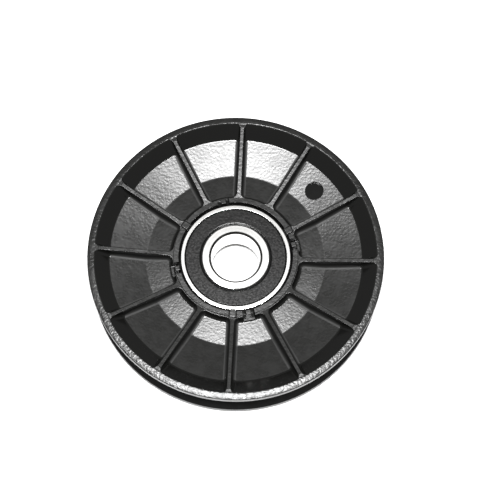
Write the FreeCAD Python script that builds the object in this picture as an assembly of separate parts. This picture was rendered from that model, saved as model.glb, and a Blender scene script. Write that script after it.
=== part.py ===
"""Belt idler pulley: a ribbed plastic V pulley moulded round a sealed ball bearing.

Millimetres. The origin is on the axis, halfway through the bearing. +Z runs along
the axis out of the upper face, and one rib of each face lies along +Y. Angles called
clockwise are counted from +Y, seen from above.
"""
import FreeCAD, Part
import math
import os

from FreeCAD import Vector

# ---- Bearing, the standard 17 x 40 x 12 size -------------------------------------------
BORE_RADIUS = 8.5
OUTER_RADIUS = 20.0
BEARING_HALF_WIDTH = 6.0
BORE_CHAMFER = 0.7
OUTER_CHAMFER = 1.3

BALL_COUNT = 8
BALL_RADIUS = 3.3735
PITCH_RADIUS = 14.25
BALL_CLEARANCE = 0.03
RACEWAY_RADIUS = 0.52 * 2 * BALL_RADIUS
INNER_SHOULDER_RADIUS = 12.25
INNER_STEP = 0.3
OUTER_SHOULDER_RADIUS = 16.7

# The seal sits in a recess of the outer ring and runs clear of the inner ring.
SEAL_RECESS_RADIUS = 17.55
SEAL_SNAP_RADIUS = 17.95
SEAL_SNAP_Z = 4.5
SEAL_SNAP_HEIGHT = 0.7
SEAL_FACE_Z = 5.8
SEAL_BACK_Z = 4.95
SEAL_LIP_BACK_Z = 4.7
SEAL_LIP_TIP_Z = 5.4
SEAL_LIP_BEVEL = 0.75
SEAL_FIT_GAP = 0.05
INNER_LAND_RADIUS = 11.55
SEAL_RUNNING_GAP = 0.08
INSERT_THICKNESS = 0.3
INSERT_INNER_RADIUS = 12.9
INSERT_OUTER_RADIUS = 17.2

CAGE_THICKNESS = 0.5
CAGE_POCKET_GAP = 0.1
CAGE_INNER_RADIUS = 12.85
CAGE_OUTER_RADIUS = 15.65
RIVET_RADIUS = 0.5
RIVET_HEAD_RADIUS = 0.85
RIVET_HEAD_HEIGHT = 0.35

# ---- Pulley ----------------------------------------------------------------------------
RIM_RADIUS = 50.6
RIM_HALF_WIDTH = 9.4
RIM_INNER_EDGE = 48.3
RIM_EDGE_ROUNDING = 0.6
RIM_CROWN_START = 49.4
FLANGE_EDGE_Z = 9.08
GROOVE_HALF_WIDTH = 6.4
GROOVE_HALF_ANGLE = math.radians(18.0)
GROOVE_ROOT_RADIUS = 43.2

# The rib tops rise from the hub to the rim.
RIB_COUNT = 12
RIB_TOP_AT_HUB = 6.25
RIB_HALF_WIDTH = 0.68
RIB_DRAFT = math.radians(2.0)
FLOOR_FILLET = 1.3
HUB_CORNER_FILLET = 2.0
EDGE_ROUNDING = 0.22

LIP_RADIUS = 19.5
HUB_RING_OUTER = 21.3
HUB_RING_FLARE = 0.1
HUB_TOP_Z = 7.05
HUB_WALL_TOP = 21.65
HUB_WALL_DRAFT = math.radians(9.0)

# The web dips from the rim to a valley and rises again to the hub.
VALLEY_RADIUS = 30.7
VALLEY_Z = 3.0
INNER_SLOPE = math.radians(4.0)
OUTER_SLOPE = math.radians(11.4)
WEB_EDGE_RADIUS = 43.55
WEB_THICKNESS = 3.3
UNDER_ROOT_RADIUS = 41.0
UNDER_ROOT_DRAFT = math.radians(4.0)

BOSS_RADIUS = 1.1
BOSS_CENTRE_RADIUS = 47.8
BOSS_FOOT_Z = 7.0
BOSS_TOP_Z = 9.35

NOTCH_ANGLES = (75, 165, 255, 345)
NOTCH_WIDTH = 4.2
NOTCH_FLOOR_Z = 3.8
TAB_WIDTH = 1.9
TAB_INNER_RADIUS = 19.45
TAB_OUTER_RADIUS = 21.2

PAD_ANGLES = (60, 180, 300)
PAD_WIDTH = 2.8
PAD_INNER_RADIUS = 18.9
PAD_OUTER_RADIUS = 21.9
PAD_TOP_Z = 7.4

SPOT_ANGLE = 45
SPOT_CENTRE_RADIUS = 37.0
SPOT_RADIUS = 3.25
SPOT_FLOOR_Z = 3.6

# Plain raised marks: a date dial on the web and short bars on the seal face.
MARK_HEIGHT = 0.15
DIAL_ANGLE = 315
DIAL_CENTRE_RADIUS = 38.3
DIAL_RADIUS = 2.7
DIAL_LINE = 0.55
BAR_ROW_RADIUS = 33.6
BAR_ROW_COUNT = 6
BAR_ROW_PITCH = 1.15
BAR_LENGTH = 1.2
BAR_WIDTH = 0.45
SEAL_BAR_ROWS = (25, 145, 215, 300)
SEAL_BARS_IN_ROW = 9
SEAL_BAR_STEP = 4.0
SEAL_BAR_INNER_RADIUS = 14.2
SEAL_BAR_OUTER_RADIUS = 15.7

# Cutting shapes reach up to ABOVE, clear of the part. Edges sharper than SHARP are rounded.
ABOVE = 11.5
SLAB_LENGTH = 56.0
PLATE_RADIUS = 47.0
SHARP = math.radians(25.0)
UP = Vector(0, 0, 1)
ORIGIN = Vector(0, 0, 0)


# ---- Helpers ---------------------------------------------------------------------------
def outline(corners):
    """A face in the XZ plane through (r, z) corners; a third number rounds that corner."""
    points = [Vector(c[0], 0, c[1]) for c in corners]
    radii = [c[2] if len(c) > 2 else 0.0 for c in corners]
    count = len(points)
    edges = []
    starts = []
    ends = []
    arcs = []
    for i in range(count):
        here = points[i]
        back = (points[i - 1] - here).normalize()
        ahead = (points[(i + 1) % count] - here).normalize()
        if radii[i] == 0.0:
            starts.append(here)
            ends.append(here)
            arcs.append(None)
            continue
        half = math.acos(max(-1.0, min(1.0, back.dot(ahead)))) / 2
        reach = radii[i] / math.tan(half)
        middle = (back + ahead).normalize()
        nearest = here + middle * (radii[i] / math.sin(half) - radii[i])
        starts.append(here + back * reach)
        ends.append(here + ahead * reach)
        arcs.append(Part.Arc(starts[i], nearest, ends[i]).toShape())
    for i in range(count):
        if arcs[i] is not None:
            edges.append(arcs[i])
        following = starts[(i + 1) % count]
        if (following - ends[i]).Length > 1e-6:
            edges.append(Part.LineSegment(ends[i], following).toShape())
    return Part.Face(Part.Wire(edges))


def turned(corners, degrees=360.0):
    """Turn an outline about the axis; a part turn is centred on +X."""
    solid = outline(corners).revolve(ORIGIN, UP, degrees)
    if degrees < 360.0:
        solid.rotate(ORIGIN, UP, -degrees / 2)
    return solid


def mirrored(corners):
    """The same outline on the other side of the mid-plane."""
    return [(c[0], -c[1]) + tuple(c[2:]) for c in reversed(corners)]


def placed(shape, clockwise):
    """A copy of a shape made along +X, turned to a clockwise angle from +Y."""
    copy = shape.copy()
    copy.rotate(ORIGIN, UP, 90.0 - clockwise)
    return copy


def upside_down(shape):
    """A copy mirrored in the mid-plane."""
    return shape.mirror(ORIGIN, UP)


def block(inner, outer, width, low, high):
    """A box along +X, centred on the XZ plane."""
    return Part.makeBox(outer - inner, width, high - low, Vector(inner, -width / 2, low))


def floor_z(radius):
    """Height of the web's upper face."""
    if radius < VALLEY_RADIUS:
        return VALLEY_Z + (VALLEY_RADIUS - radius) * math.tan(INNER_SLOPE)
    return VALLEY_Z + (radius - VALLEY_RADIUS) * math.tan(OUTER_SLOPE)


def rib_top(radius):
    """Height of the rib tops."""
    rise = (RIM_HALF_WIDTH - RIB_TOP_AT_HUB) / (RIM_INNER_EDGE - HUB_WALL_TOP)
    return RIB_TOP_AT_HUB + (radius - HUB_WALL_TOP) * rise


def save(name, shape):
    shape.exportStep(os.path.join("parts", name + ".step"))
    print("%-20s solids %d  valid %s  volume %.1f" % (name, len(shape.Solids), shape.isValid(), shape.Volume))


# ---- Bearing ---------------------------------------------------------------------------
def raceway(centre_radius):
    """The ring-shaped space that a raceway is ground to."""
    return Part.makeTorus(centre_radius, RACEWAY_RADIUS)


def inner_ring():
    half = [
        (BORE_RADIUS, 0),
        (BORE_RADIUS, BEARING_HALF_WIDTH - BORE_CHAMFER),
        (BORE_RADIUS + BORE_CHAMFER, BEARING_HALF_WIDTH),
        (INNER_LAND_RADIUS, BEARING_HALF_WIDTH, 0.25),
        (INNER_LAND_RADIUS, SEAL_SNAP_Z, 0.2),
        (INNER_SHOULDER_RADIUS, SEAL_SNAP_Z - INNER_STEP, 0.2),
        (INNER_SHOULDER_RADIUS, 0),
    ]
    profile = half[1:-1] + mirrored(half[1:-1])
    contact = PITCH_RADIUS - BALL_RADIUS - BALL_CLEARANCE
    return turned(profile).cut(raceway(contact + RACEWAY_RADIUS))


def ring_corner():
    """The chamfered upper corner of the outer ring, from the outside inwards."""
    return [
        (OUTER_RADIUS, BEARING_HALF_WIDTH - OUTER_CHAMFER, 0.3),
        (OUTER_RADIUS - OUTER_CHAMFER, BEARING_HALF_WIDTH, 0.15),
    ]


def ring_envelope():
    """The outer ring without its inside, which is the seat in the hub."""
    upper = ring_corner() + [(1.0, BEARING_HALF_WIDTH)]
    return turned(upper + mirrored(upper))


def outer_ring():
    snap_top = SEAL_SNAP_Z + SEAL_SNAP_HEIGHT
    upper = ring_corner() + [
        (SEAL_RECESS_RADIUS, BEARING_HALF_WIDTH, 0.12),
        (SEAL_RECESS_RADIUS, snap_top),
        (SEAL_SNAP_RADIUS, snap_top - 0.2, 0.1),
        (SEAL_SNAP_RADIUS, SEAL_SNAP_Z, 0.2),
        (OUTER_SHOULDER_RADIUS, SEAL_SNAP_Z, 0.3),
    ]
    contact = PITCH_RADIUS + BALL_RADIUS + BALL_CLEARANCE
    return turned(upper + mirrored(upper)).cut(raceway(contact - RACEWAY_RADIUS))


def ball(number):
    turn = math.radians(360.0 / BALL_COUNT * (number - 1))
    centre = Vector(PITCH_RADIUS * math.cos(turn), PITCH_RADIUS * math.sin(turn), 0)
    return Part.makeSphere(BALL_RADIUS, centre)


def cage_band(low, high):
    outer = Part.makeCylinder(CAGE_OUTER_RADIUS, high - low, Vector(0, 0, low))
    return outer.cut(Part.makeCylinder(CAGE_INNER_RADIUS, high - low, Vector(0, 0, low)))


def upper_cage():
    """Half of a ribbon cage: flat tabs joined by pockets that wrap the balls."""
    pocket_radius = BALL_RADIUS + CAGE_POCKET_GAP
    shells = []
    hollows = []
    holes = []
    for i in range(BALL_COUNT):
        turn = math.radians(360.0 / BALL_COUNT * i)
        centre = Vector(PITCH_RADIUS * math.cos(turn), PITCH_RADIUS * math.sin(turn), 0)
        shells.append(Part.makeSphere(pocket_radius + CAGE_THICKNESS, centre))
        hollows.append(Part.makeSphere(pocket_radius, centre))
        half_turn = turn + math.pi / BALL_COUNT
        tab = Vector(PITCH_RADIUS * math.cos(half_turn), PITCH_RADIUS * math.sin(half_turn), -1)
        holes.append(Part.makeCylinder(RIVET_RADIUS, 3, tab))
    ribbon = cage_band(0, CAGE_THICKNESS).multiFuse(shells)
    ribbon = ribbon.common(cage_band(0, pocket_radius + 1))
    return ribbon.cut(Part.makeCompound(hollows + holes))


def rivets():
    """Eight rivets with a domed head on each side of the cage."""
    top = CAGE_THICKNESS + RIVET_HEAD_HEIGHT
    rivet = turned([
        (0, -top),
        (RIVET_HEAD_RADIUS, -top, 0.3),
        (RIVET_HEAD_RADIUS, -CAGE_THICKNESS),
        (RIVET_RADIUS, -CAGE_THICKNESS),
        (RIVET_RADIUS, CAGE_THICKNESS),
        (RIVET_HEAD_RADIUS, CAGE_THICKNESS),
        (RIVET_HEAD_RADIUS, top, 0.3),
        (0, top),
    ])
    solids = []
    for i in range(BALL_COUNT):
        turn = math.radians(360.0 / BALL_COUNT * (i + 0.5))
        copy = rivet.copy()
        copy.translate(Vector(PITCH_RADIUS * math.cos(turn), PITCH_RADIUS * math.sin(turn), 0))
        solids.append(copy)
    return Part.makeCompound(solids)


def upper_seal():
    """Rubber seal: a bead snapped in the outer ring, a flat face and a bevelled lip."""
    lip = INNER_LAND_RADIUS + SEAL_RUNNING_GAP
    snap_top = SEAL_SNAP_Z + SEAL_SNAP_HEIGHT
    bead_radius = SEAL_SNAP_RADIUS - SEAL_FIT_GAP
    bead_low = SEAL_SNAP_Z + SEAL_FIT_GAP
    edge_radius = SEAL_RECESS_RADIUS - SEAL_FIT_GAP
    ring = turned([
        (lip, SEAL_LIP_BACK_Z),
        (INSERT_INNER_RADIUS, SEAL_LIP_BACK_Z),
        (INSERT_INNER_RADIUS, SEAL_BACK_Z),
        (INSERT_OUTER_RADIUS, SEAL_BACK_Z),
        (INSERT_OUTER_RADIUS, bead_low),
        (bead_radius, bead_low, 0.25),
        (bead_radius, snap_top - 0.2 - SEAL_FIT_GAP, 0.1),
        (edge_radius, snap_top - SEAL_FIT_GAP),
        (edge_radius, SEAL_FACE_Z - 0.4),
        (edge_radius - 0.4, SEAL_FACE_Z, 0.15),
        (lip + SEAL_LIP_BEVEL, SEAL_FACE_Z, 0.2),
        (lip + 0.35, SEAL_LIP_TIP_Z, 0.1),
        (lip, SEAL_LIP_TIP_Z, 0.05),
    ])
    return ring.multiFuse(seal_bars())


def seal_bars():
    """Rows of short raised bars on the seal face, in place of any lettering."""
    top = SEAL_FACE_Z + MARK_HEIGHT
    bar = block(SEAL_BAR_INNER_RADIUS, SEAL_BAR_OUTER_RADIUS, BAR_WIDTH, SEAL_BACK_Z + 0.1, top)
    bars = []
    for middle in SEAL_BAR_ROWS:
        for i in range(SEAL_BARS_IN_ROW):
            bars.append(placed(bar, middle + (i - (SEAL_BARS_IN_ROW - 1) / 2) * SEAL_BAR_STEP))
    return bars


def upper_insert():
    """Pressed steel stiffener bonded to the back of the seal."""
    return turned([
        (INSERT_INNER_RADIUS, SEAL_BACK_Z - INSERT_THICKNESS),
        (INSERT_OUTER_RADIUS, SEAL_BACK_Z - INSERT_THICKNESS),
        (INSERT_OUTER_RADIUS, SEAL_BACK_Z),
        (INSERT_INNER_RADIUS, SEAL_BACK_Z),
    ])


# ---- Pulley ----------------------------------------------------------------------------
def pulley_blank():
    """Hub, rim and groove, filled level with the rib tops between hub and rim."""
    root_half_width = GROOVE_HALF_WIDTH - (RIM_RADIUS - GROOVE_ROOT_RADIUS) * math.tan(GROOVE_HALF_ANGLE)
    upper = [
        (GROOVE_ROOT_RADIUS, root_half_width, 1.0),
        (RIM_RADIUS, GROOVE_HALF_WIDTH, 0.5),
        (RIM_RADIUS, FLANGE_EDGE_Z, 0.3),
        (RIM_CROWN_START, RIM_HALF_WIDTH, 6.5),
        (RIM_INNER_EDGE, RIM_HALF_WIDTH),
        (LIP_RADIUS, rib_top(LIP_RADIUS)),
    ]
    return turned(upper + mirrored(upper))


def hub_ring():
    """The raised ring round the seat, one step above the inner ends of the ribs."""
    return turned([
        (LIP_RADIUS, BEARING_HALF_WIDTH - 1),
        (HUB_RING_OUTER + HUB_RING_FLARE, BEARING_HALF_WIDTH - 1),
        (HUB_RING_OUTER, HUB_TOP_Z, 0.15),
        (LIP_RADIUS, HUB_TOP_Z, 0.15),
    ])


def rib_slab(bottom_z):
    """A long drafted bar along +X, as wide as a rib."""
    spread = RIB_HALF_WIDTH + (RIM_HALF_WIDTH - bottom_z) * math.tan(RIB_DRAFT)
    extra = RIB_HALF_WIDTH - (ABOVE - RIM_HALF_WIDTH) * math.tan(RIB_DRAFT)
    corners = [
        Vector(0, -spread, bottom_z),
        Vector(0, spread, bottom_z),
        Vector(0, extra, ABOVE),
        Vector(0, -extra, ABOVE),
    ]
    face = Part.Face(Part.makePolygon(corners + corners[:1]))
    return face.extrude(Vector(SLAB_LENGTH, 0, 0))


def wall_rise():
    """Slope of the rim's inner wall, height over radius."""
    return (RIM_HALF_WIDTH - floor_z(WEB_EDGE_RADIUS)) / (RIM_INNER_EDGE - WEB_EDGE_RADIUS)


def over_the_rim():
    """The end of a pocket outline: round the rim's inner edge and out above the rim."""
    return [
        (RIM_INNER_EDGE, RIM_HALF_WIDTH, RIM_EDGE_ROUNDING),
        (SLAB_LENGTH - 3, RIM_HALF_WIDTH + 0.3),
        (SLAB_LENGTH - 3, ABOVE),
    ]


def upper_pocket_outline():
    foot = HUB_WALL_TOP + (RIB_TOP_AT_HUB - floor_z(HUB_WALL_TOP)) * math.tan(HUB_WALL_DRAFT)
    head = HUB_WALL_TOP - (ABOVE - RIB_TOP_AT_HUB) * math.tan(HUB_WALL_DRAFT)
    return [
        (head, ABOVE),
        (foot, floor_z(foot)),
        (VALLEY_RADIUS, VALLEY_Z, 1.6),
        (WEB_EDGE_RADIUS, floor_z(WEB_EDGE_RADIUS), 1.6),
    ] + over_the_rim()


def lower_pocket_outline():
    """The same pocket as deep as the web's thickness allows, drawn upside down."""
    foot = HUB_WALL_TOP + 0.8
    head = HUB_WALL_TOP - 0.2
    edge_z = floor_z(WEB_EDGE_RADIUS) - (WEB_EDGE_RADIUS - UNDER_ROOT_RADIUS) * wall_rise()
    depth = edge_z - WEB_THICKNESS + floor_z(UNDER_ROOT_RADIUS)
    root = UNDER_ROOT_RADIUS - depth * math.tan(UNDER_ROOT_DRAFT)
    return [
        (head, ABOVE),
        (foot, WEB_THICKNESS - floor_z(foot)),
        (VALLEY_RADIUS, WEB_THICKNESS - VALLEY_Z, 3.0),
        (root, WEB_THICKNESS - floor_z(root), 2.2),
        (UNDER_ROOT_RADIUS, edge_z, 1.0),
    ] + over_the_rim()


def sharp_edges(solid, chosen):
    """Edges of a solid where its faces meet at an angle and the test agrees."""
    found = []
    for edge in solid.Edges:
        faces = solid.ancestorsOfType(edge, Part.Face)
        if len(faces) != 2:
            continue
        middle = edge.valueAt((edge.FirstParameter + edge.LastParameter) / 2)
        normals = []
        for face in faces:
            u, v = face.Surface.parameter(middle)
            normals.append(face.normalAt(u, v))
        if normals[0].getAngle(normals[1]) > SHARP and chosen(edge.BoundBox, middle):
            found.append(edge)
    return found


def pocket(corners, bottom_z):
    """The space between two ribs, along +X, with drafted sides and rounded edges.

    It carries a plate level with the rib tops, so that the edges of the ribs and the
    top of the hub wall are rounded with it.
    """
    spacing = 360.0 / RIB_COUNT
    space = turned(corners, spacing + 4.0)
    for side in (-1, 1):
        beyond = Part.makeBox(SLAB_LENGTH, 20, ABOVE - bottom_z, Vector(0, 10 * side - 10, bottom_z))
        rib_side = rib_slab(bottom_z).fuse(beyond)
        rib_side.rotate(ORIGIN, UP, side * spacing / 2)
        space = space.cut(rib_side)
    space = space.removeSplitter()

    hub_corners = sharp_edges(space, lambda box, middle: middle.x < HUB_WALL_TOP + 2 and box.ZLength > 3)
    space = space.makeFillet(HUB_CORNER_FILLET, hub_corners)
    floor_edges = sharp_edges(space, lambda box, middle: middle.z < RIM_HALF_WIDTH - 0.5)
    space = space.makeFillet(FLOOR_FILLET, floor_edges)

    plate_inner = HUB_WALL_TOP - 0.9
    plate = turned([
        (plate_inner, rib_top(plate_inner)),
        (PLATE_RADIUS, rib_top(PLATE_RADIUS)),
        (PLATE_RADIUS, ABOVE),
        (plate_inner, ABOVE),
    ], spacing)
    space = space.fuse(plate).removeSplitter()

    def is_rib_edge(box, middle):
        radius = math.hypot(middle.x, middle.y)
        level = abs(middle.z - rib_top(radius)) < 1e-3
        inside = plate_inner + 0.1 < radius < PLATE_RADIUS - 0.1
        on_rib = abs(math.atan2(middle.y, middle.x)) > math.radians(spacing / 2 - 0.1)
        return level and inside and not on_rib

    return space.makeFillet(EDGE_ROUNDING, sharp_edges(space, is_rib_edge))


def rib_bosses():
    """A short round boss on the rim's inner edge at the end of every rib, both faces."""
    foot = Vector(BOSS_CENTRE_RADIUS, 0, BOSS_FOOT_Z)
    boss = Part.makeCylinder(BOSS_RADIUS, BOSS_TOP_Z - BOSS_FOOT_Z, foot)
    rim_end = [edge for edge in boss.Edges if edge.BoundBox.ZMin > BOSS_TOP_Z - 0.01]
    boss = boss.makeFillet(EDGE_ROUNDING, rim_end)
    bosses = []
    for i in range(RIB_COUNT):
        upper = placed(boss, i * 360.0 / RIB_COUNT)
        bosses.append(upper)
        bosses.append(upside_down(upper))
    return bosses


def notches():
    """Four windows in the hub ring, each down to below the bearing's corner."""
    window = block(TAB_INNER_RADIUS - 0.6, HUB_WALL_TOP + 2.5, NOTCH_WIDTH, NOTCH_FLOOR_Z, ABOVE)
    floor_level = NOTCH_FLOOR_Z + 0.01
    foot = [e for e in window.Edges if e.BoundBox.ZMax < floor_level and e.BoundBox.XLength > 1]
    window = window.makeFillet(0.3, foot)
    return [placed(window, angle) for angle in NOTCH_ANGLES]


def notch_tabs():
    """The small post that stands in the middle of each notch."""
    tab = block(TAB_INNER_RADIUS, TAB_OUTER_RADIUS, TAB_WIDTH, NOTCH_FLOOR_Z - 0.5, HUB_TOP_Z - 0.1)
    rounded = [edge for edge in tab.Edges if edge.BoundBox.ZMax > NOTCH_FLOOR_Z]
    tab = tab.makeFillet(0.25, rounded)
    return [placed(tab, angle) for angle in NOTCH_ANGLES]


def pads():
    """Three pads that lap over the bearing's corner where a rib meets the hub."""
    pad = block(PAD_INNER_RADIUS, PAD_OUTER_RADIUS, PAD_WIDTH, BEARING_HALF_WIDTH - 1.5, PAD_TOP_Z)
    rounded = [edge for edge in pad.Edges if edge.BoundBox.ZMax > BEARING_HALF_WIDTH]
    pad = pad.makeFillet(0.5, rounded)
    return [placed(pad, angle) for angle in PAD_ANGLES]


def date_dial():
    """A ring with a pointer and a row of bars, raised on the web's upper face."""
    depth = ABOVE
    ring = Part.makeCylinder(DIAL_RADIUS, depth, Vector(DIAL_CENTRE_RADIUS, 0, 0))
    ring = ring.cut(Part.makeCylinder(DIAL_RADIUS - DIAL_LINE, depth, Vector(DIAL_CENTRE_RADIUS, 0, 0)))
    shapes = [ring, block(DIAL_CENTRE_RADIUS - 1.4, DIAL_CENTRE_RADIUS + 1.4, DIAL_LINE, 0, depth)]
    for i in range(BAR_ROW_COUNT):
        bar = block(BAR_ROW_RADIUS - BAR_LENGTH / 2, BAR_ROW_RADIUS + BAR_LENGTH / 2, BAR_WIDTH, 0, depth)
        bar.translate(Vector(0, (i - (BAR_ROW_COUNT - 1) / 2) * BAR_ROW_PITCH, 0))
        shapes.append(bar)
    inner = VALLEY_RADIUS + 1
    outer = WEB_EDGE_RADIUS - 1
    skin = turned([
        (inner, floor_z(inner) - 0.3),
        (outer, floor_z(outer) - 0.3),
        (outer, floor_z(outer) + MARK_HEIGHT),
        (inner, floor_z(inner) + MARK_HEIGHT),
    ], 25.0)
    return [placed(skin.common(shape), DIAL_ANGLE) for shape in shapes]


def pulley_body():
    upper_pocket = pocket(upper_pocket_outline(), 0.0)
    lower_pocket = upside_down(pocket(lower_pocket_outline(), -4.0))
    spot = Part.makeCylinder(SPOT_RADIUS, ABOVE, Vector(SPOT_CENTRE_RADIUS, 0, SPOT_FLOOR_Z))
    spaces = [placed(spot, SPOT_ANGLE)]
    for i in range(RIB_COUNT):
        middle = (i + 0.5) * 360.0 / RIB_COUNT
        spaces.append(placed(upper_pocket, middle))
        spaces.append(placed(lower_pocket, middle))
    body = pulley_blank().cut(spaces)
    body = body.multiFuse([hub_ring(), upside_down(hub_ring())] + rib_bosses() + pads() + date_dial())
    body = body.cut(notches())
    body = body.multiFuse(notch_tabs())
    return body.cut(ring_envelope())


# ---- Write every sub-part --------------------------------------------------------------
os.makedirs("parts", exist_ok=True)
save("pulley_body", pulley_body())
save("bearing_outer_ring", outer_ring())
save("bearing_inner_ring", inner_ring())
for number in range(1, BALL_COUNT + 1):
    save("ball_%d" % number, ball(number))
save("cage_upper", upper_cage())
save("cage_lower", upside_down(upper_cage()))
save("cage_rivets", rivets())
save("seal_upper", upper_seal())
save("seal_lower", upside_down(upper_seal()))
save("seal_insert_upper", upper_insert())
save("seal_insert_lower", upside_down(upper_insert()))
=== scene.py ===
"""Ribbed plastic idler pulley moulded round a sealed ball bearing, lying flat on a white table."""
import math

import bpy
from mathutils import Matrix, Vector


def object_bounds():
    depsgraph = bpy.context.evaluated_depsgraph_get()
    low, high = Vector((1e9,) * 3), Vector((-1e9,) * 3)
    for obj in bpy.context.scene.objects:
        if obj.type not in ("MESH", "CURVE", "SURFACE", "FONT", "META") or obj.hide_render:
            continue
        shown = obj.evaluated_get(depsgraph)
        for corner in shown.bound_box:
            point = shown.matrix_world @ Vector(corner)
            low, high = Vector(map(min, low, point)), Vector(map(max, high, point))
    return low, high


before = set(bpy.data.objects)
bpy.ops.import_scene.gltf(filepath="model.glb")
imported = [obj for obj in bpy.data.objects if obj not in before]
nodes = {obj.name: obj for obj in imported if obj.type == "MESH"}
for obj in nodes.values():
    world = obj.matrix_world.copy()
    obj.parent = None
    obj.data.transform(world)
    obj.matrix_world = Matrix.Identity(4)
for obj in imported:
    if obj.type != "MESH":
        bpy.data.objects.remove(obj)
cad_low, cad_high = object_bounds()


# ---- Inner ring -------------------------------------------------------------------------
# The ring that is held still on the bolt. It is hardened bearing steel, turned and then
# ground, so its faces and bore are bright and carry very fine lines that run round the axis.
MM = 0.001
EDGE = 0.1 * MM


def add(tree, kind, settings=None, **sockets):
    """Add a node, set its properties and fill its sockets with numbers or links."""
    made = tree.nodes.new(kind)
    for name, value in (settings or {}).items():
        setattr(made, name, value)
    for name, value in sockets.items():
        key = int(name[1:]) if name[1:].isdigit() else name.replace("_", " ")
        socket = made.inputs[key]
        if isinstance(value, bpy.types.NodeSocket):
            tree.links.new(value, socket)
        else:
            socket.default_value = value
    return made


def calculate(tree, operation, first, second=0.0):
    """One sum of two values."""
    return add(tree, "ShaderNodeMath", {"operation": operation}, _0=first, _1=second).outputs[0]


def both(tree, first, second):
    """The product of two values, which for two masks is the place they share."""
    return calculate(tree, "MULTIPLY", first, second)


def fade(tree, value, low, high, to_low=0.0, to_high=1.0):
    """Turn the stretch from low to high into a smooth step from to_low to to_high."""
    step = add(tree, "ShaderNodeMapRange", {"interpolation_type": "SMOOTHSTEP"}, Value=value)
    step.inputs["From Min"].default_value = low
    step.inputs["From Max"].default_value = high
    step.inputs["To Min"].default_value = to_low
    step.inputs["To Max"].default_value = to_high
    return step.outputs[0]


def beyond(tree, value, limit, width=EDGE):
    """A mask of the places where the value is more than the limit."""
    return fade(tree, value, limit, limit + width)


def within(tree, value, limit, width=EDGE):
    """A mask of the places where the value is less than the limit."""
    return fade(tree, value, limit + width, limit)


def blend_colour(tree, factor, dark, light):
    """A colour between two others."""
    mix = add(tree, "ShaderNodeMix", {"data_type": "RGBA"}, _0=factor)
    mix.inputs[6].default_value = dark + (1.0,)
    mix.inputs[7].default_value = light + (1.0,)
    return mix.outputs[2]


def new_group(name, entries, results):
    """An empty shader node group with number inputs and number outputs."""
    group = bpy.data.node_groups.new(name, "ShaderNodeTree")
    for entry, value in entries:
        socket = group.interface.new_socket(entry, in_out="INPUT", socket_type="NodeSocketFloat")
        socket.default_value = value
    for result in results:
        group.interface.new_socket(result, in_out="OUTPUT", socket_type="NodeSocketFloat")
    return group, group.nodes.new("NodeGroupInput"), group.nodes.new("NodeGroupOutput")


def place_group(tree, group, **values):
    """Put a node group into a material with its own values."""
    placed = tree.nodes.new("ShaderNodeGroup")
    placed.node_tree = group
    for name, value in values.items():
        placed.inputs[name.replace("_", " ")].default_value = value
    return placed.outputs


def new_material(name, metallic=0.0):
    """A material with its node tree and shader."""
    made = bpy.data.materials.new(name)
    made.use_nodes = True
    shader = made.node_tree.nodes["Principled BSDF"]
    shader.inputs["Metallic"].default_value = metallic
    return made, made.node_tree, shader


def roughen(tree, shader, height, depth, strength=1.0):
    """Drive the shader's normal from a height between 0 and 1 that stands for a depth in metres."""
    bump = add(tree, "ShaderNodeBump", Height=height, Strength=strength, Distance=depth)
    tree.links.new(bump.outputs["Normal"], shader.inputs["Normal"])


def dress(finish, *node_names):
    """Give CAD parts their finish."""
    for name in node_names:
        slots = nodes[name].data.materials
        slots.clear()
        slots.append(finish)


# How a place on the part lies: its distance from the axis, its height from the middle plane,
# and how squarely it faces along the axis.
lie, lie_in, lie_out = new_group("lie", [], ["Radius", "Level", "Facing"])
spot_of = add(lie, "ShaderNodeTexCoord")
apart = add(lie, "ShaderNodeSeparateXYZ", Vector=spot_of.outputs["Object"]).outputs
flat = add(lie, "ShaderNodeCombineXYZ", X=apart[0], Y=apart[1])
reach = add(lie, "ShaderNodeVectorMath", {"operation": "LENGTH"}, _0=flat.outputs[0])
turned_to = add(lie, "ShaderNodeSeparateXYZ", Vector=spot_of.outputs["Normal"]).outputs
lie.links.new(reach.outputs["Value"], lie_out.inputs["Radius"])
lie.links.new(calculate(lie, "ABSOLUTE", apart[2]), lie_out.inputs["Level"])
lie.links.new(calculate(lie, "ABSOLUTE", turned_to[2]), lie_out.inputs["Facing"])

# Fine lines round the axis, as a tool or a grinding wheel leaves them.
lathe, lathe_in, lathe_out = new_group("lathe_lines", [("Lines per metre", 9000.0)], ["Lines"])
lathe_lie = place_group(lathe, lie)
across = calculate(lathe, "ADD", lathe_lie["Radius"], lathe_lie["Level"])
place_across = add(lathe, "ShaderNodeCombineXYZ", X=both(lathe, across, lathe_in.outputs[0]))
lines = add(lathe, "ShaderNodeTexNoise", Vector=place_across.outputs[0], Scale=1.0, Detail=3.0)
lathe.links.new(lines.outputs[0], lathe_out.inputs["Lines"])

# Uneven patches of handling, oil film or dust, a few millimetres across.
patches, patches_in, patches_out = new_group("patches", [("Size per metre", 220.0)], ["Patches"])
where = add(patches, "ShaderNodeTexCoord").outputs["Object"]
cloud = add(patches, "ShaderNodeTexNoise", Vector=where, Scale=patches_in.outputs[0],
            Detail=4.0, Roughness=0.6)
patches.links.new(fade(patches, cloud.outputs[0], 0.35, 0.68), patches_out.inputs["Patches"])

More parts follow.
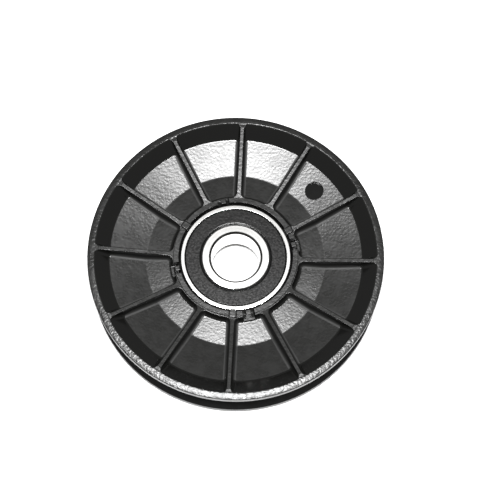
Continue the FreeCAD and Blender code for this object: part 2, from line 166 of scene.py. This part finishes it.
GROUND_FACE_FROM = 0.93
GROUND_FACE_TO = 0.985
OUTER_CORNER_RADIUS = 18.1 * MM
BORE_CHAMFER_RADIUS = 9.3 * MM
BEVEL_FACING_FROM = 0.2
BEVEL_FACING_TO = 0.5
ground, ground_tree, ground_shader = new_material("ground_steel", 1.0)
ground_lie = place_group(ground_tree, lie)
ground_lines = place_group(ground_tree, lathe)["Lines"]
ground_patches = place_group(ground_tree, patches)["Patches"]
# Painted shade: the rounded outer corner beside the plastic lip and the bore chamfer are coloured
# nearly black to stand in for the shade in those gaps; the same turned corners are also made rougher.
off_face = fade(ground_tree, ground_lie["Facing"], GROUND_FACE_TO, GROUND_FACE_FROM)
outside = beyond(ground_tree, ground_lie["Radius"], OUTER_CORNER_RADIUS, 2 * EDGE)
bevel = both(ground_tree,
             within(ground_tree, ground_lie["Radius"], BORE_CHAMFER_RADIUS),
             fade(ground_tree, ground_lie["Facing"], BEVEL_FACING_FROM, BEVEL_FACING_TO))
shaded_turned_corners = both(ground_tree, off_face, calculate(ground_tree, "MAXIMUM", outside, bevel))
tone = both(ground_tree, shaded_turned_corners, 0.9)
tone = calculate(ground_tree, "ADD", tone, both(ground_tree, ground_patches, 0.1))
# Steel colour, nearly black where the corner shade is painted, with a little random tone from the
# patches.
steel_with_painted_shade = blend_colour(ground_tree, tone, (0.82, 0.815, 0.80), (0.035, 0.034, 0.032))
ground_tree.links.new(steel_with_painted_shade, ground_shader.inputs["Base Color"])
ground_gloss = calculate(ground_tree, "ADD", fade(ground_tree, ground_lines, 0.3, 0.7, 0.2, 0.29),
                         both(ground_tree, shaded_turned_corners, 0.15))
ground_tree.links.new(ground_gloss, ground_shader.inputs["Roughness"])
roughen(ground_tree, ground_shader, ground_lines, 0.0015 * MM)
dress(ground, "bearing_inner_ring")

# ---- Balls ------------------------------------------------------------------------------
# Eight balls of the same steel, lapped and polished like a mirror, with a thin film of
# grease. They run in the grooves of the two rings and the seals hide them.
balls = ["ball_%d" % number for number in range(1, 9)]
polished, polished_tree, polished_shader = new_material("polished_steel", 1.0)
film = place_group(polished_tree, patches, Size_per_metre=500.0)["Patches"]
polished_tree.links.new(blend_colour(polished_tree, film, (0.78, 0.78, 0.77), (0.70, 0.66, 0.56)),
                        polished_shader.inputs["Base Color"])
polished_tree.links.new(fade(polished_tree, film, 0.0, 1.0, 0.05, 0.16),
                        polished_shader.inputs["Roughness"])
dress(polished, *balls)

# ---- Cage -------------------------------------------------------------------------------
# Two ribbons pressed from thin mild steel strip, which hold the balls apart. The pressing
# leaves a dull grey skin with faint scuffs.
pressed, pressed_tree, pressed_shader = new_material("pressed_steel", 0.9)
scuffs = place_group(pressed_tree, patches, Size_per_metre=700.0)["Patches"]
pressed_tree.links.new(blend_colour(pressed_tree, scuffs, (0.30, 0.30, 0.29), (0.48, 0.47, 0.45)),
                       pressed_shader.inputs["Base Color"])
pressed_tree.links.new(fade(pressed_tree, scuffs, 0.0, 1.0, 0.42, 0.30),
                       pressed_shader.inputs["Roughness"])
roughen(pressed_tree, pressed_shader, scuffs, 0.004 * MM)
dress(pressed, "cage_upper", "cage_lower")

# ---- Rivets -----------------------------------------------------------------------------
# Eight soft steel pins between the balls. Their domed heads are formed cold and clamp the
# two halves of the cage together.
formed, formed_tree, formed_shader = new_material("formed_steel", 0.95)
dents = place_group(formed_tree, patches, Size_per_metre=1500.0)["Patches"]
formed_tree.links.new(blend_colour(formed_tree, dents, (0.42, 0.41, 0.39), (0.60, 0.59, 0.57)),
                      formed_shader.inputs["Base Color"])
formed_tree.links.new(fade(formed_tree, dents, 0.0, 1.0, 0.36, 0.24),
                      formed_shader.inputs["Roughness"])
roughen(formed_tree, formed_shader, dents, 0.006 * MM)
dress(formed, "cage_rivets")

# ---- Outer ring -------------------------------------------------------------------------
# The ring that turns with the pulley. Its faces are ground like the inner ring's; the
# chamfers outside them stay as turned and rougher, and carry painted shade that makes them nearly
# black.
dress(ground, "bearing_outer_ring")

# ---- Seal inserts -----------------------------------------------------------------------
# Thin steel washers bonded to the back of each seal to stiffen it. They are stamped and
# washed, with fine lines from the strip they came from.
stamped, stamped_tree, stamped_shader = new_material("stamped_steel", 0.9)
strip_lines = place_group(stamped_tree, lathe, Lines_per_metre=5000.0)["Lines"]
stamped_tree.links.new(blend_colour(stamped_tree, strip_lines, (0.40, 0.40, 0.40), (0.56, 0.56, 0.55)),
                       stamped_shader.inputs["Base Color"])
stamped_tree.links.new(fade(stamped_tree, strip_lines, 0.3, 0.7, 0.40, 0.30),
                       stamped_shader.inputs["Roughness"])
roughen(stamped_tree, stamped_shader, strip_lines, 0.003 * MM)
dress(stamped, "seal_insert_upper", "seal_insert_lower")

# ---- Seals ------------------------------------------------------------------------------
# Black nitrile rubber rings moulded in a spark-worn tool, snapped into the outer ring. The
# skin is finely pebbled with a little dust; the lip beside the inner ring is smooth.
pebbles, pebbles_in, pebbles_out = new_group("pebbles", [("Grains per metre", 1150.0)], ["Grain"])
where = add(pebbles, "ShaderNodeTexCoord").outputs["Object"]
coarse = add(pebbles, "ShaderNodeTexNoise", Vector=where, Scale=pebbles_in.outputs[0],
             Detail=2.5, Roughness=0.5)
pebbles.links.new(fade(pebbles, coarse.outputs[0], 0.25, 0.75), pebbles_out.inputs["Grain"])

SEAL_FACE_INSIDE = 12.45 * MM
SEAL_FACE_OUTSIDE = 17.0 * MM
SEAL_GRAIN_DEPTH = 0.012 * MM
rubber, rubber_tree, rubber_shader = new_material("seal_rubber")
rubber_lie = place_group(rubber_tree, lie)
rubber_grain = place_group(rubber_tree, pebbles, Grains_per_metre=1600.0)["Grain"]
rubber_dust = place_group(rubber_tree, patches, Size_per_metre=1500.0)["Patches"]
face_only = both(rubber_tree,
                 beyond(rubber_tree, rubber_lie["Radius"], SEAL_FACE_INSIDE),
                 within(rubber_tree, rubber_lie["Radius"], SEAL_FACE_OUTSIDE))
dusty = both(rubber_tree, face_only, fade(rubber_tree, rubber_dust, 0.0, 1.0, 0.4, 1.0))
rubber_tree.links.new(blend_colour(rubber_tree, dusty, (0.003, 0.003, 0.003), (0.008, 0.0078, 0.0075)),
                      rubber_shader.inputs["Base Color"])
rubber_tree.links.new(fade(rubber_tree, dusty, 0.0, 1.0, 0.17, 0.26), rubber_shader.inputs["Roughness"])
roughen(rubber_tree, rubber_shader, both(rubber_tree, rubber_grain, face_only), SEAL_GRAIN_DEPTH)
dress(rubber, "seal_upper", "seal_lower")

# ---- Pulley -----------------------------------------------------------------------------
# One piece of black glass-filled nylon, moulded round the bearing. The faces square to the
# axis and the rim carry the tool's spark-worn grain; ribs' flanks and deep walls are smooth.
NYLON_GRAIN_DEPTH = 0.022 * MM
RIM_EXTRA_GRAIN = 1.2
SMOOTH_ROUGHNESS = 0.12
TEXTURED_ROUGHNESS = 0.27
RIB_ROOT_ROUGHENING = 0.4
TEXTURED_FROM = 0.950
TEXTURED_TO = 0.970
RIM_INSIDE = 47.9 * MM
FLANGE_INSIDE = 6.7 * MM
SPOT_CENTRE = (26.163 * MM, 26.163 * MM, 0.0)
SPOT_RADIUS = 3.2 * MM
SPOT_TOP = 3.75 * MM
NOTCH_OUTSIDE = 21.6 * MM
NOTCH_TOP = 5.0 * MM
RIB_PITCH = math.tau / 12
RIB_ROOT_REACH = 2.05 * MM
RIB_ROOT_TOP = 5.7 * MM
WEB_OUTSIDE = 42.8 * MM
nylon, nylon_tree, nylon_shader = new_material("black_nylon")
nylon_lie = place_group(nylon_tree, lie)
nylon_grain = place_group(nylon_tree, pebbles)["Grain"]
nylon_patches = place_group(nylon_tree, patches, Size_per_metre=260.0)["Patches"]
fine_grain = place_group(nylon_tree, pebbles, Grains_per_metre=5200.0)["Grain"]
squarely = fade(nylon_tree, nylon_lie["Facing"], TEXTURED_FROM, TEXTURED_TO)
on_rim = both(nylon_tree,
              beyond(nylon_tree, nylon_lie["Radius"], RIM_INSIDE, 2 * EDGE),
              beyond(nylon_tree, nylon_lie["Level"], FLANGE_INSIDE, 3 * EDGE))
textured = calculate(nylon_tree, "MAXIMUM", squarely, on_rim)
where = add(nylon_tree, "ShaderNodeTexCoord").outputs["Object"]
level_place = add(nylon_tree, "ShaderNodeVectorMath", {"operation": "MULTIPLY"},
                  _0=where, _1=(1.0, 1.0, 0.0))
from_spot = add(nylon_tree, "ShaderNodeVectorMath", {"operation": "DISTANCE"},
                _0=level_place.outputs[0], _1=SPOT_CENTRE)
off_spot = calculate(nylon_tree, "MAXIMUM",
                     beyond(nylon_tree, from_spot.outputs["Value"], SPOT_RADIUS),
                     beyond(nylon_tree, nylon_lie["Level"], SPOT_TOP))
off_notch = calculate(nylon_tree, "MAXIMUM",
                      beyond(nylon_tree, nylon_lie["Radius"], NOTCH_OUTSIDE),
                      beyond(nylon_tree, nylon_lie["Level"], NOTCH_TOP))
textured = both(nylon_tree, textured, both(nylon_tree, off_spot, off_notch))
worn = both(nylon_tree, textured, fade(nylon_tree, nylon_patches, 0.0, 1.0, 0.7, 1.0))
nylon_tree.links.new(blend_colour(nylon_tree, worn, (0.0045, 0.0045, 0.0042), (0.0105, 0.0105, 0.0100)),
                     nylon_shader.inputs["Base Color"])
place = add(nylon_tree, "ShaderNodeSeparateXYZ", Vector=where).outputs
angle = calculate(nylon_tree, "ARCTAN2", place[1], place[0])
turn = calculate(nylon_tree, "PINGPONG", angle, RIB_PITCH / 2)
from_rib = both(nylon_tree, turn, nylon_lie["Radius"])
rib_root = both(nylon_tree,
                within(nylon_tree, from_rib, RIB_ROOT_REACH, 2 * EDGE),
                within(nylon_tree, nylon_lie["Level"], RIB_ROOT_TOP, 2 * EDGE))
rib_root = both(nylon_tree, rib_root, within(nylon_tree, nylon_lie["Radius"], WEB_OUTSIDE, 2 * EDGE))
nylon_gloss = calculate(nylon_tree, "ADD",
                        fade(nylon_tree, textured, 0.0, 1.0, SMOOTH_ROUGHNESS, TEXTURED_ROUGHNESS),
                        fade(nylon_tree, nylon_patches, 0.0, 1.0, 0.0, 0.03))
nylon_gloss = calculate(nylon_tree, "ADD", nylon_gloss, both(nylon_tree, rib_root, RIB_ROOT_ROUGHENING))
nylon_tree.links.new(nylon_gloss, nylon_shader.inputs["Roughness"])
coarseness = calculate(nylon_tree, "ADD", textured, both(nylon_tree, on_rim, RIM_EXTRA_GRAIN))
skin = calculate(nylon_tree, "ADD", both(nylon_tree, nylon_grain, coarseness),
                 both(nylon_tree, fine_grain, 0.1))
roughen(nylon_tree, nylon_shader, skin, NYLON_GRAIN_DEPTH)
dress(nylon, "pulley_body")

# ---- Table, light and camera ------------------------------------------------------------
# A plain white table under one large soft light, a little in front of straight above. The
# room round it is dim, so the black moulding mirrors only the light.
TABLE_WIDTH = 3.0
bpy.ops.mesh.primitive_plane_add(size=TABLE_WIDTH, location=(0, 0, cad_low[2]))
table = bpy.context.object
table.name = "table"
paper, paper_tree, paper_shader = new_material("white_table")
paper_tone = place_group(paper_tree, patches, Size_per_metre=30.0)["Patches"]
paper_tree.links.new(blend_colour(paper_tree, paper_tone, (0.90, 0.90, 0.90), (0.93, 0.93, 0.93)),
                     paper_shader.inputs["Base Color"])
paper_shader.inputs["Roughness"].default_value = 0.8
table.data.materials.append(paper)

LIGHT_WIDTH = 0.46
LIGHT_DEPTH = 0.26
LIGHT_RADIANCE = 60.0
LIGHT_PLACE = Vector((0.0, -0.085, 1.0))
lamp = bpy.data.lights.new("overhead", "AREA")
lamp.shape = "RECTANGLE"
lamp.size = LIGHT_WIDTH
lamp.size_y = LIGHT_DEPTH
lamp.energy = LIGHT_RADIANCE * math.pi * LIGHT_WIDTH * LIGHT_DEPTH
overhead = bpy.data.objects.new("overhead", lamp)
bpy.context.scene.collection.objects.link(overhead)
overhead.location = LIGHT_PLACE
overhead.rotation_euler = LIGHT_PLACE.to_track_quat("Z", "Y").to_euler()

ROOM_GREY = (0.20, 0.20, 0.20, 1.0)
world = bpy.data.worlds.new("studio")
bpy.context.scene.world = world
world.use_nodes = True
world.node_tree.nodes["Background"].inputs["Color"].default_value = ROOM_GREY

CAMERA_DISTANCE = 0.47
CAMERA_ELEVATION = math.radians(72.06)
CAMERA_AZIMUTH = math.radians(2.85)
CAMERA_LENS = 98.75
CAMERA_SHIFT = (0.0286, 0.0138)
target = Vector((0, 0, 6 * MM))
towards_camera = Vector((
    math.sin(CAMERA_AZIMUTH) * math.cos(CAMERA_ELEVATION),
    -math.cos(CAMERA_AZIMUTH) * math.cos(CAMERA_ELEVATION),
    math.sin(CAMERA_ELEVATION),
))
lens = bpy.data.cameras.new("camera")
lens.lens = CAMERA_LENS
lens.shift_x, lens.shift_y = CAMERA_SHIFT
camera = bpy.data.objects.new("camera", lens)
bpy.context.scene.collection.objects.link(camera)
camera.location = target + towards_camera * CAMERA_DISTANCE
camera.rotation_euler = towards_camera.to_track_quat("Z", "Y").to_euler()
bpy.context.scene.camera = camera
bpy.context.scene.view_settings.view_transform = "Standard"
